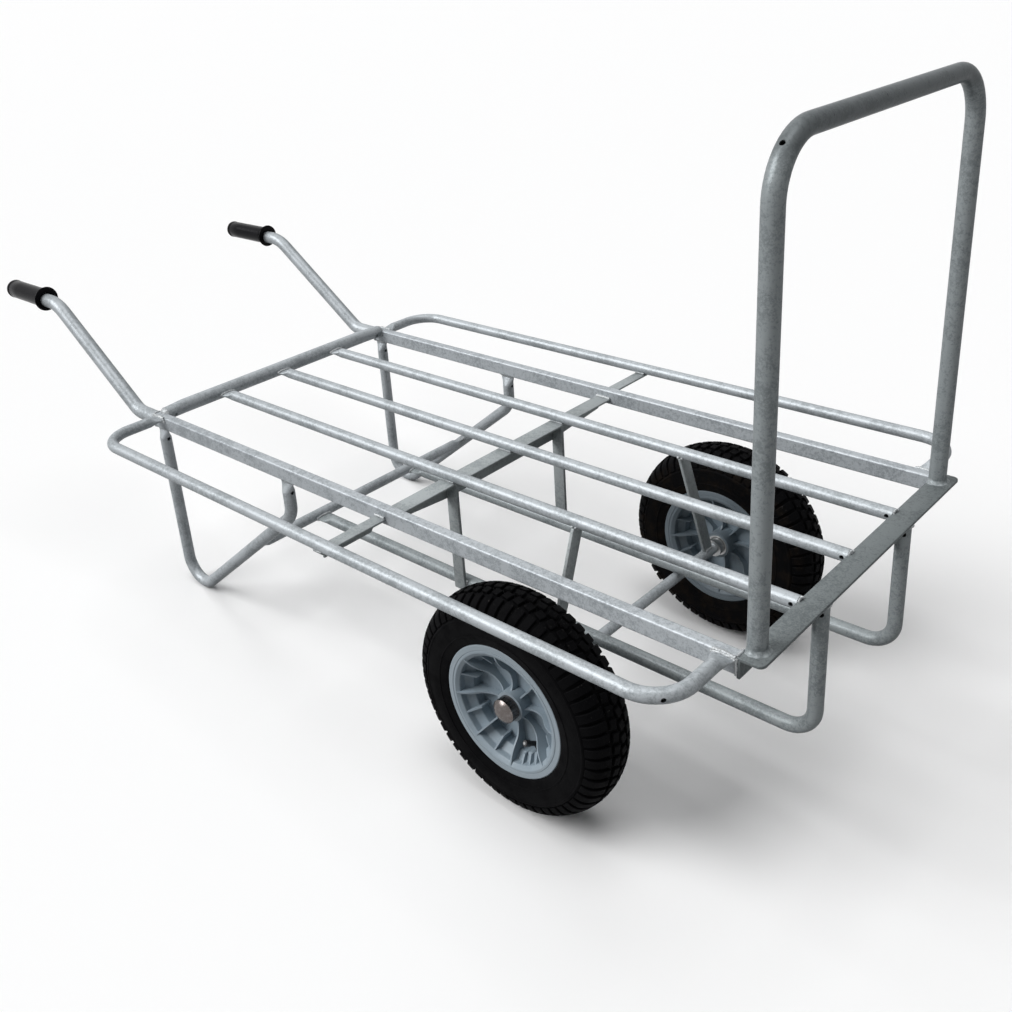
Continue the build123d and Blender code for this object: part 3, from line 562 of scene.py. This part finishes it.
@dataclass
class Tyre:
    """One block-tread tyre: a moulded carcass, lugs over both shoulders and two rows of crown blocks."""

    side: str
    hub: Vector
    pitches: int = 56
    carcass_steps: int = 168
    lug_wide: float = 14.6
    lug_round: float = 0.9
    lug_edge: float = 50.0
    block: Point = (8.0, 13.0, 15.0)
    block_slant: float = 12.0
    block_out: float = 8.2
    block_middle: float = 195.2
    crown_ball: float = 68.7
    carcass: Sequence[Point] = (
        (194.6, 0.0), (193.9, 10.0), (191.6, 20.0), (187.6, 30.0), (184.0, 35.6), (178.5, 41.2),
        (171.0, 45.9), (167.0, 47.6), (165.6, 49.6), (164.2, 50.5), (162.6, 50.6), (161.6, 50.0),
        (155.0, 50.6), (150.0, 50.8), (142.0, 50.4), (137.4, 49.9), (136.6, 50.7), (135.2, 50.6),
        (134.4, 49.5), (128.0, 48.2), (123.0, 47.0), (120.2, 46.2), (119.5, 45.4), (119.4, 43.0),
    )
    lug: Sequence[Point] = (
        (197.1, 19.5), (193.2, 29.8), (189.6, 36.3), (184.6, 42.4), (177.2, 46.9), (168.6, 49.7),
        (167.4, 47.0), (171.6, 44.6), (178.2, 39.6), (183.0, 34.4), (186.6, 29.0), (190.6, 19.5),
    )

    def spoke(self, radius: float, out: float) -> Vector:
        """Point ahead of the axle at a radius and a distance from the wheel's middle, in millimetres."""
        return self.hub + Vector((radius, out, 0.0)) * MM

    def lugs(self, hand: int) -> Shape:
        """Lugs round one shoulder.

        Args:
            hand: 1 for the left shoulder, -1 for the right.

        Returns:
            The ring of lugs.
        """
        ring = Shape()
        start = Vector((0.0, 0.0, -0.5 * self.lug_wide * MM))
        dots = [ring.mesh.verts.new(self.spoke(r, hand * y) + start) for r, y in self.lug]
        side = ring.mesh.faces.new(dots)
        grown = bmesh.ops.extrude_face_region(ring.mesh, geom=[side])["geom"]
        moved = [v for v in grown if isinstance(v, bmesh.types.BMVert)]
        bmesh.ops.translate(ring.mesh, verts=moved, vec=(0.0, 0.0, self.lug_wide * MM))
        bmesh.ops.recalc_face_normals(ring.mesh, faces=ring.mesh.faces)
        ring.soften(self.lug_round * MM, 1, self.lug_edge)
        if hand > 0:
            half = Matrix.Rotation(math.pi / self.pitches, 3, "Y")
            bmesh.ops.rotate(ring.mesh, verts=ring.mesh.verts, cent=self.hub, matrix=half)
        ring.ringed(self.hub, LEFT, self.pitches)
        return ring

    def blocks(self, hand: int) -> Shape:
        """Blocks of one crown row.

        Args:
            hand: 1 for the left row, -1 for the right.

        Returns:
            The ring of blocks.
        """
        ring = Shape()
        bmesh.ops.create_cube(ring.mesh, size=MM)
        bmesh.ops.scale(ring.mesh, verts=ring.mesh.verts, vec=self.block)
        ring.soften(self.lug_round * MM, 1)
        tilt = -hand * math.asin(self.block_out / self.crown_ball)
        slant = Matrix.Rotation(math.radians(self.block_slant * hand), 4, "X")
        turn = Matrix.Rotation(-tilt, 4, "Z") @ slant
        bmesh.ops.transform(ring.mesh, verts=ring.mesh.verts, matrix=turn)
        bmesh.ops.translate(ring.mesh, verts=ring.mesh.verts,
                            vec=self.spoke(self.block_middle, hand * self.block_out))
        shift = Matrix.Rotation((1.0 + 0.5 * hand) * math.pi / self.pitches, 3, "Y")
        bmesh.ops.rotate(ring.mesh, verts=ring.mesh.verts, cent=self.hub, matrix=shift)
        ring.ringed(self.hub, LEFT, self.pitches)
        return ring

    def build(self) -> None:
        """Mould the tyre in place of the plain one."""
        tyre = Shape()
        half = [(r * MM, y * MM) for r, y in self.carcass]
        profile = half + [(r, -y) for r, y in reversed(half[1:])]
        tyre.turned(profile, self.hub, LEFT, AHEAD, self.carcass_steps, True)
        for hand in (-1, 1):
            tyre.take(self.lugs(hand))
            tyre.take(self.blocks(hand))
        tyre.piece(f"moulded_tyre_{self.side}", f"wheel_{self.side}", Finish.tyre_rubber,
                   [f"tyre_{self.side}"])


@dataclass
class Grip:
    """One handle sleeve: fluted along its length, with an end rim and a thin flared collar."""

    side: str
    flutes: int = 36
    flute_deep: float = 0.35
    profile: Sequence[Point] = (
        (15.05, 0.0), (24.0, 0.0), (27.2, -0.6), (27.5, -1.6), (27.2, -2.8), (25.6, -4.2),
        (23.4, -6.2), (22.0, -9.0), (21.4, -12.0), (20.6, -12.8), (20.6, -14.2), (21.3, -15.0),
        (21.2, -18.0), (20.9, -60.0), (20.7, -110.0), (20.7, -144.0), (20.2, -145.2), (20.2, -146.8),
        (21.1, -147.8), (21.2, -151.5), (20.2, -154.6), (18.0, -156.4), (14.0, -157.0), (6.0, -157.2),
        (0.0, -157.2),
    )
    fluted: Sequence[float] = (-142.0, -20.0)

    def build(self, bed: Bed) -> None:
        """Shape the sleeve in place of the plain one.

        Args:
            bed: The cart's axes, along which the grip lies.
        """
        low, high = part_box(f"grip_{self.side}")
        forwards = (bed.matrix().to_3x3() @ AHEAD).normalized()
        up = (bed.matrix().to_3x3() @ UP).normalized()
        half_long = 0.5 * (max(-a for _, a in self.profile) * MM)
        centre = 0.5 * (Vector(low) + Vector(high)) + forwards * half_long
        sleeve = Shape()
        profile = [(r * MM, a * MM) for r, a in self.profile]
        sleeve.turned(profile, centre, forwards, up, 2 * self.flutes)
        lines = []
        for vert in sleeve.mesh.verts:
            along = (vert.co - centre).dot(forwards) / MM
            arm = vert.co - centre - forwards * (vert.co - centre).dot(forwards)
            turn = math.atan2(arm.cross(up).dot(forwards), arm.dot(up)) * self.flutes / math.pi
            if self.fluted[0] < along < self.fluted[1] and round(turn) % 2:
                lines.append((vert, arm.normalized()))
        for vert, arm in lines:
            vert.co -= arm * self.flute_deep * MM
        sleeve.piece(f"fluted_grip_{self.side}", "frame", Finish.grip_rubber,
                     [f"grip_{self.side}"])


@dataclass
class Valve:
    """The bright core end in one valve's cap."""

    side: str
    steps: int = 20
    stem_end: float = 9.5
    core: Sequence[Point] = ((0.0, 0.6), (2.2, 0.6), (2.6, 0.2), (2.6, -1.5))

    def build(self) -> None:
        """Set the bright core in the cap's end."""
        cap = frame["nodes"][f"valve_cap_{self.side}"].data
        stem = frame["nodes"][f"valve_stem_{self.side}"].data
        middle = sum((v.co for v in cap.vertices), Vector()) / len(cap.vertices)
        near = min(stem.vertices, key=lambda v: (v.co - middle).length).co
        ends = [v.co for v in stem.vertices if (v.co - near).length < self.stem_end * MM]
        root = sum(ends, Vector()) / len(ends)
        axis = (middle - root).normalized()
        tip = max((v.co - middle).dot(axis) for v in cap.vertices)
        core = Shape()
        out = axis.orthogonal().normalized()
        profile = [(r * MM, a * MM) for r, a in self.core]
        core.turned(profile, middle + axis * tip, axis, out, self.steps)
        core.piece(f"valve_core_{self.side}", f"wheel_{self.side}", Finish.axle_steel)


@dataclass
class FlatBars:
    """The cart's cut flat bars and angles, with worn edges."""

    nodes: Sequence[str] = ("front_angle", "mid_angle", "post_right", "post_left", "axle_strut_right",
                            "axle_strut_left", "wing_support_right", "wing_support_left")
    edge: float = 0.8
    edge_turn: float = 40.0
    flat_turn: float = 1.5
    same_point: float = 1e-5

    def build(self) -> None:
        """Round each bar's edges in place of the plain one."""
        for node in self.nodes:
            bar = Shape()
            bar.mesh.from_mesh(frame["nodes"][node].data)
            bmesh.ops.remove_doubles(bar.mesh, verts=bar.mesh.verts, dist=self.same_point)
            bmesh.ops.dissolve_limit(bar.mesh, angle_limit=math.radians(self.flat_turn),
                                     verts=bar.mesh.verts, edges=bar.mesh.edges)
            bar.soften(self.edge * MM, 2, self.edge_turn)
            finish = Finish.zinc_on_plate if node == "front_angle" else Finish.zinc_on_flats
            bar.piece(f"edged_{node}", "frame", finish, [node])


@dataclass
class Welds:
    """Weld beads where the tubes and bars meet, laid in level-bed millimetres."""

    bed: Bed
    rail_y: float = 311.0
    slat_y: float = 154.0
    slat_z: float = 451.65
    lower_y: float = 135.5
    oval_steps: int = 48
    step: float = 1.5
    ripple: float = 4.4
    swell: float = 0.16
    lump: float = 0.32
    lump_grain: float = 0.09
    sway: float = 0.7
    sway_grain: float = 0.14
    phases: float = 6.0
    seed: int = 7
    runs: dict[str, list] = field(default_factory=dict)

    def run(self, group: str, points: Sequence[Point], size: float = 2.8, closed: bool = False) -> None:
        """Lay one bead.

        Args:
            group: The piece that it belongs to.
            points: Corners of its path.
            size: Its mean half thickness.
            closed: Whether its end meets its start.
        """
        corners = [Vector(p) for p in points]
        if closed:
            corners.append(corners[0])
        path = []
        for start, end in zip(corners, corners[1:]):
            count = max(1, round((end - start).length / self.step))
            path += [start.lerp(end, i / count) for i in range(count)]
        if not closed:
            path.append(corners[-1])
        self.runs.setdefault(group, []).append((path, size, closed))

    def oval(self, group: str, centre: Point, wide: Point, high: Point, size: float = 2.8,
             arc: Point = (0.0, 360.0)) -> None:
        """Lay a bead on an oval or on part of it.

        Args:
            group: The piece that it belongs to.
            centre: The oval's centre.
            wide: Its first half axis.
            high: Its second half axis.
            size: The bead's mean half thickness.
            arc: First and last turn of the part that is laid, in degrees.
        """
        whole = arc[1] - arc[0] >= 360.0
        count = self.oval_steps
        stops = range(count if whole else count + 1)
        turns = [math.radians(arc[0] + (arc[1] - arc[0]) * i / count) for i in stops]
        middle, first, second = Vector(centre), Vector(wide), Vector(high)
        points = [middle + first * math.cos(t) + second * math.sin(t) for t in turns]
        self.run(group, points, size, whole)

    def plan_bed(self) -> None:
        """Beads of the rails, slats and cross members."""
        for hand in (-1, 1):
            rail = hand * self.rail_y
            around = ((-10, -12), (-10, 12), (-6, 15), (6, 15), (10, 12), (10, -12), (6, -15), (-6, -15))
            self.run("welds_bed", [(-998.8, rail + y, 442.5 + z) for y, z in around], 2.6, True)
            self.run("welds_bed", [(-961.5, hand * 321.4, 454.0), (-958.0, hand * 321.2, 447.0)], 3.4)
            self.oval("welds_bed", (-984.0, hand * 300.2, 454.0), (15.2, 0, 0), (0, 0, 13.2), 2.4,
                      (190.0, 350.0))
            self.run("welds_bed", [(-307.0, hand * 300.4, 441.4), (-274.0, hand * 300.4, 441.4)], 3.2)
            self.run("welds_bed", [(-308.4, hand * 300.2, 440.0), (-308.4, hand * 300.2, 414.0)], 2.8)
            self.run("welds_front", [(393.0, hand * 302.0, 457.7), (393.0, hand * 320.0, 457.7)], 2.2)
            self.run("welds_front", [(392.9, hand * 321.2, 456.0), (392.9, hand * 321.2, 429.0)], 2.4)
        for y in (-self.slat_y, 0.0, self.slat_y):
            self.oval("welds_bed", (-970.8, y, self.slat_z), (0, 17.2, 0), (0, 0, 3.6), 2.6)
            for across in (-5.6, 5.6):
                self.run("welds_bed", [(-305.0, y + across, 441.9), (-276.0, y + across, 441.9)], 2.6)
            self.oval("welds_front", (392.6, y, self.slat_z), (0, 11.3, 0), (0, 0, 11.3), 2.2,
                      (186.0, 354.0))
            for reach, size in ((8.8, 2.4), (5.4, 2.4), (2.2, 2.2)):
                self.oval("welds_front", (395.4, y, self.slat_z), (0, reach, 0), (0, 0, reach), size,
                          (20.0, 160.0))

    def plan_wings(self) -> None:
        """Beads of the wing rails and their supports."""
        support_beads = ((1.0, 24.0, 321.8, 441.6, 3.2), (2.0, 23.0, 447.2, 443.0, 2.6),
                         (2.0, 23.0, 459.6, 441.6, 2.2))
        for hand, rear in ((-1, -305.5), (1, -314.5)):
            for x in (-978.0, 374.0):
                self.oval("welds_wings", (x, hand * 322.0, self.slat_z), (17.2, 0, 0), (0, 0, 3.6), 2.7)
                self.run("welds_wings", [(x - 17.0, hand * 320.9, 456.2), (x - 4.0, hand * 320.2, 457.2),
                                         (x + 18.0, hand * 321.0, 456.0)], 2.9)
            for first, last, y, z, size in support_beads:
                self.run("welds_wings", [(rear + first, hand * y, z), (rear + last, hand * y, z)], size)

    def plan_legs(self) -> None:
        """Beads of the legs, the brace and the lower tubes."""
        slope = Vector((1.0, 0.0, 0.8)).normalized()
        across = Vector((-0.8, 0.0, 1.0)).normalized()
        for hand in (-1, 1):
            for x in (-985.5, -566.0):
                self.oval("welds_legs", (x, hand * self.rail_y, 426.2), (18.0, 0, 0), (0, 3.8, 0), 2.8)
            self.oval("welds_legs", (-722.0, hand * 298.2, 225.4), slope * 17.0, across * 3.5, 2.5)
            self.oval("welds_legs", (-710.2, hand * self.lower_y, 222.0), (0, 18.0, 0), (0, 0, 3.6), 2.5)
            self.oval("welds_front", (418.0, hand * self.lower_y, 451.8), (12.4, 0, 0), (0, 12.4, 0),
                      2.6)
            for face in (147.2, 153.8):
                self.run("welds_axle", [(-303.0, hand * face, 435.8), (-279.0, hand * face, 435.8)], 2.4)
            for x in (-304.4, -277.6):
                self.run("welds_axle", [(x, hand * 147.4, 214.0), (x, hand * 147.4, 230.0)], 2.4)

    def plan_axle(self) -> None:
        """Beads of the struts on the axle and the slats."""
        for hand in (-1, 1):
            for x in (-3.8, 3.8):
                self.run("welds_axle", [(x, hand * 228.0, 210.0), (x, hand * 252.0, 210.0)], 2.6)
                self.oval("welds_axle", (x, hand * self.slat_y, self.slat_z), (0, 11.6, 0), (0, 0, 11.6),
                          2.3, (205.0, 335.0))

    def build(self) -> None:
        """Make one piece of each group of beads."""
        self.plan_bed()
        self.plan_wings()
        self.plan_legs()
        self.plan_axle()
        noise.seed_set(self.seed)
        draw = random.Random(self.seed)
        for group, runs in self.runs.items():
            line = bpy.data.curves.new(group, "CURVE")
            line.dimensions = "3D"
            line.bevel_depth = 1.0
            line.bevel_resolution = 1
            line.use_fill_caps = True
            for path, size, closed in runs:
                spline = line.splines.new("POLY")
                spline.points.add(len(path) - 1)
                spline.use_cyclic_u = closed
                wave = draw.uniform(0.0, self.phases)
                for i, (point, place) in enumerate(zip(spline.points, path)):
                    swell = 1.0 + self.swell * math.sin(FULL_TURN * i * self.step / self.ripple + wave)
                    lump = self.lump * noise.noise(place * self.lump_grain + AHEAD * wave)
                    sway = noise.noise_vector(place * self.sway_grain + LEFT * wave) * self.sway
                    point.co = (*(place + sway), 1.0)
                    point.radius = size * (swell + lump)
            holder = bpy.data.objects.new(group, line)
            bpy.context.scene.collection.objects.link(holder)
            shown = holder.evaluated_get(bpy.context.evaluated_depsgraph_get())
            data = bpy.data.meshes.new_from_object(shown)
            bead = Shape()
            bead.mesh.from_mesh(data)
            bmesh.ops.transform(bead.mesh, verts=bead.mesh.verts, matrix=self.bed.matrix())
            bpy.data.objects.remove(holder)
            bpy.data.curves.remove(line)
            bpy.data.meshes.remove(data)
            bead.piece(group, "frame", Finish.zinc_on_welds, sharp=60.0)


@dataclass
class CrossTubeEnds:
    """Weld metal that rounds the rear cross tube's ends down to the tops of the rails."""

    bed: Bed
    centre: Point = (-984.0, 300.4, 454.0)
    reach: Point = (15.3, 10.5, 13.3)
    lump: float = 0.05
    lump_grain: float = 2.6
    steps: Sequence[int] = (48, 28)

    def build(self) -> None:
        """Make one rounded fill at each end."""
        x, y, z = self.centre
        for side, hand in (("right", -1), ("left", 1)):
            fill = Shape()
            bmesh.ops.create_uvsphere(fill.mesh, u_segments=self.steps[0], v_segments=self.steps[1],
                                      radius=1.0)
            for vert in fill.mesh.verts:
                grain = noise.noise(vert.co * self.lump_grain + AHEAD * hand)
                vert.co *= 1.0 - self.lump * (0.5 + grain)
            bmesh.ops.scale(fill.mesh, verts=fill.mesh.verts, vec=self.reach)
            bmesh.ops.translate(fill.mesh, verts=fill.mesh.verts, vec=(x, hand * y, z))
            bmesh.ops.transform(fill.mesh, verts=fill.mesh.verts, matrix=self.bed.matrix())
            fill.piece(f"cross_tube_fill_{side}", "frame", Finish.zinc_on_welds,
                       sharp=80.0)


@dataclass
class HoopZinc:
    """Zinc that gathered on the hoop: a rough patch on the right upright and a fillet at each foot."""

    bed: Bed
    foot: Point = (406.0, -291.0, 590.0)
    radius: float = 14.05
    high: float = 42.0
    rings: int = 28
    steps: int = 64
    rough: float = 0.42
    tuck: float = 0.3
    sink: float = 0.12
    swell_over: float = 8.0
    band_noise: Sequence[Point] = ((0.45, 0.6), (0.16, 0.5))
    fillet_noise: Sequence[Point] = ((0.16, 0.22), (0.5, 0.1))
    plate_top: float = 457.8
    plate_rear: float = 394.0
    fillet: Sequence[Point] = (
        (13.6, 7.0), (14.3, 5.2), (15.0, 3.4), (16.2, 1.9), (17.6, 0.9), (18.8, 0.4), (19.4, -0.4),
    )

    def sleeve(self, profile: Sequence[Point], foot: Vector) -> Shape:
        """Spin a profile about an upright.

        Args:
            profile: Pairs of a radius and a height.
            foot: Point on the upright's middle that the heights start from.

        Returns:
            The sleeve, in level-bed millimetres.
        """
        made = Shape()
        made.turned(profile, foot, UP, AHEAD, self.steps)
        return made

    @staticmethod
    def lumps(place: Vector, noises: Sequence[Point]) -> float:
        """Sum of the noises at a place, each given by its scale and its weight."""
        return sum(weight * noise.noise(place * scale) for scale, weight in noises)

    def finish(self, made: Shape, name: str, finish: Finish) -> None:
        """Set a sleeve in place on the cart."""
        bmesh.ops.transform(made.mesh, verts=made.mesh.verts, matrix=self.bed.matrix())
        made.piece(name, "frame", finish, sharp=80.0)

    def band(self) -> None:
        """Make the rough patch."""
        profile = [(self.radius - self.tuck, 0.0)]
        profile += [(self.radius, self.high * (i + 0.5) / self.rings) for i in range(self.rings)]
        profile += [(self.radius - self.tuck, self.high)]
        foot = Vector(self.foot)
        band = self.sleeve(profile, foot)
        for vert in band.mesh.verts:
            arm = vert.co - foot
            level = arm.z / self.high
            fade = max(0.0, 1.0 - abs(2.0 * level - 1.0) ** 2)
            arm.z = 0.0
            lump = self.lumps(vert.co, self.band_noise)
            vert.co += arm.normalized() * (fade * self.rough * lump - self.sink * (1.0 - fade))
        self.finish(band, "hoop_rough_band", Finish.zinc_on_hoop)

    def feet(self) -> None:
        """Make the fillets, kept off the plate's open rear edge."""
        tube = self.fillet[0][0]
        for side, hand in (("right", -1), ("left", 1)):
            foot = Vector((self.foot[0], hand * abs(self.foot[1]), self.plate_top))
            ring = self.sleeve(self.fillet, foot)
            for vert in ring.mesh.verts:
                arm = vert.co - foot
                swell = self.lumps(vert.co, self.fillet_noise)
                grow = 1.0 + swell * (arm.length - tube) / self.swell_over
                vert.co.x = max(foot.x + arm.x * grow, self.plate_rear)
                vert.co.y = foot.y + arm.y * grow
            self.finish(ring, f"hoop_fillet_{side}", Finish.zinc_on_hoop)

    def build(self) -> None:
        """Make the patch and the fillets."""
        self.band()
        self.feet()


@dataclass
class Dresser:
    """Gives every construction node its finish."""

    slots: dict[str, str]
    special: dict[str, Finish] = field(default_factory=lambda: {
        "rail_right": Finish.zinc_on_rails, "rail_left": Finish.zinc_on_rails,
        "leg_right": Finish.zinc_on_uprights, "leg_left": Finish.zinc_on_uprights,
        "lower_tube_right": Finish.zinc_on_lower, "lower_tube_left": Finish.zinc_on_lower,
        "rear_cross_tube": Finish.zinc_on_crossers, "leg_brace": Finish.zinc_on_crossers,
        "axle": Finish.zinc_on_crossers, "hoop": Finish.zinc_on_hoop})

    def dress(self) -> None:
        """Assign the materials."""
        for node, slot in self.slots.items():
            finish = self.special.get(node, Finish[slot])
            data = frame["nodes"][node].data
            data.materials.clear()
            data.materials.append(finish.paint())
        log.info("%d construction nodes dressed", len(self.slots))


@dataclass
class Studio:
    """Pale floor, soft lights and the camera."""

    bed: Bed
    eye: Point = (0.92483, -1.36452, 1.19264)
    yaw: float = 132.676
    pitch: float = -25.413
    roll: float = -1.362
    lens: float = 39.06
    sensor: float = 36.0
    shift: Point = (0.0112, -0.1015)
    far: float = 200.0
    lamp_spread: float = 40.0
    floor_size: float = 80.0
    floor_seen: Colour = (0.94, 0.94, 0.94)
    floor_bounce: Colour = (0.2, 0.2, 0.2)
    sky_seen: Colour = (0.95, 0.95, 0.95)
    sky_light: Colour = (0.057, 0.058, 0.06)

    def camera(self) -> None:
        """Place the camera at the photo's viewing angle."""
        data = bpy.data.cameras.new("photo_camera")
        data.sensor_width = self.sensor
        data.lens = self.lens
        data.shift_x, data.shift_y = self.shift
        data.clip_end = self.far
        made = bpy.data.objects.new("photo_camera", data)
        turn = (Matrix.Rotation(math.radians(self.yaw - 90.0), 4, "Z")
                @ Matrix.Rotation(math.radians(90.0 + self.pitch), 4, "X")
                @ Matrix.Rotation(math.radians(self.roll), 4, "Z"))
        made.matrix_world = Matrix.Translation(self.bed.axle + Vector(self.eye)) @ turn
        bpy.context.scene.collection.objects.link(made)
        bpy.context.scene.camera = made

    def lamp(self, name: str, source: Point, power: float) -> None:
        """Add one broad distant lamp.

        Args:
            name: The lamp's name.
            source: Direction that its light comes from.
            power: Light on a surface that faces it, in watts a square metre.
        """
        data = bpy.data.lights.new(name, "SUN")
        data.angle = math.radians(self.lamp_spread)
        data.energy = power
        made = bpy.data.objects.new(name, data)
        made.rotation_euler = Vector(source).to_track_quat("Z", "Y").to_euler()
        bpy.context.scene.collection.objects.link(made)

    def build(self) -> None:
        """Make the floor, the world, the lamps and the camera."""
        scene = bpy.context.scene
        scene.view_settings.view_transform = "Standard"
        bpy.ops.mesh.primitive_plane_add(size=self.floor_size)
        floor = bpy.context.object
        floor.name = "floor"
        paint = Shader("floor_paint")
        paint.set(Base_Color=paint.mix(paint.seen(), self.floor_bounce, self.floor_seen))
        paint.set(Roughness=0.9, Specular_IOR_Level=0.1)
        floor.data.materials.append(paint.material)
        scene.world = bpy.data.worlds.new("studio")
        scene.world.use_nodes = True
        sky = Shader.of_tree(scene.world.node_tree)
        backdrop = sky.mix(sky.seen(), self.sky_light, self.sky_seen)
        sky.feed(sky.tree.nodes["Background"].inputs["Color"], backdrop)
        self.lamp("right_softbox", (-0.545, -0.602, 0.581), 2.84)
        self.lamp("overhead_softbox", (0.0, 0.0, 1.0), 1.25)
        self.lamp("rear_softbox", (-0.6, 0.5, 0.62), 0.31)
        self.camera()


def main() -> None:
    """Build the looks in order."""
    logging.basicConfig(level=logging.INFO, format="%(name)s: %(message)s")
    bed = Bed.from_record()
    slots = {row["node"]: row["material_slot"] for row in frame["record"]["subparts"]}
    Dresser(slots).dress()
    for joint in frame["joints"]:
        side = joint["child"].removeprefix("wheel_")
        Tyre(side, Vector(joint["pos_m"])).build()
        Valve(side).build()
        Grip(side).build(bed)
    FlatBars().build()
    Welds(bed).build()
    CrossTubeEnds(bed).build()
    HoopZinc(bed).build()
    Studio(bed).build()


if __name__ == "__main__":
    main()
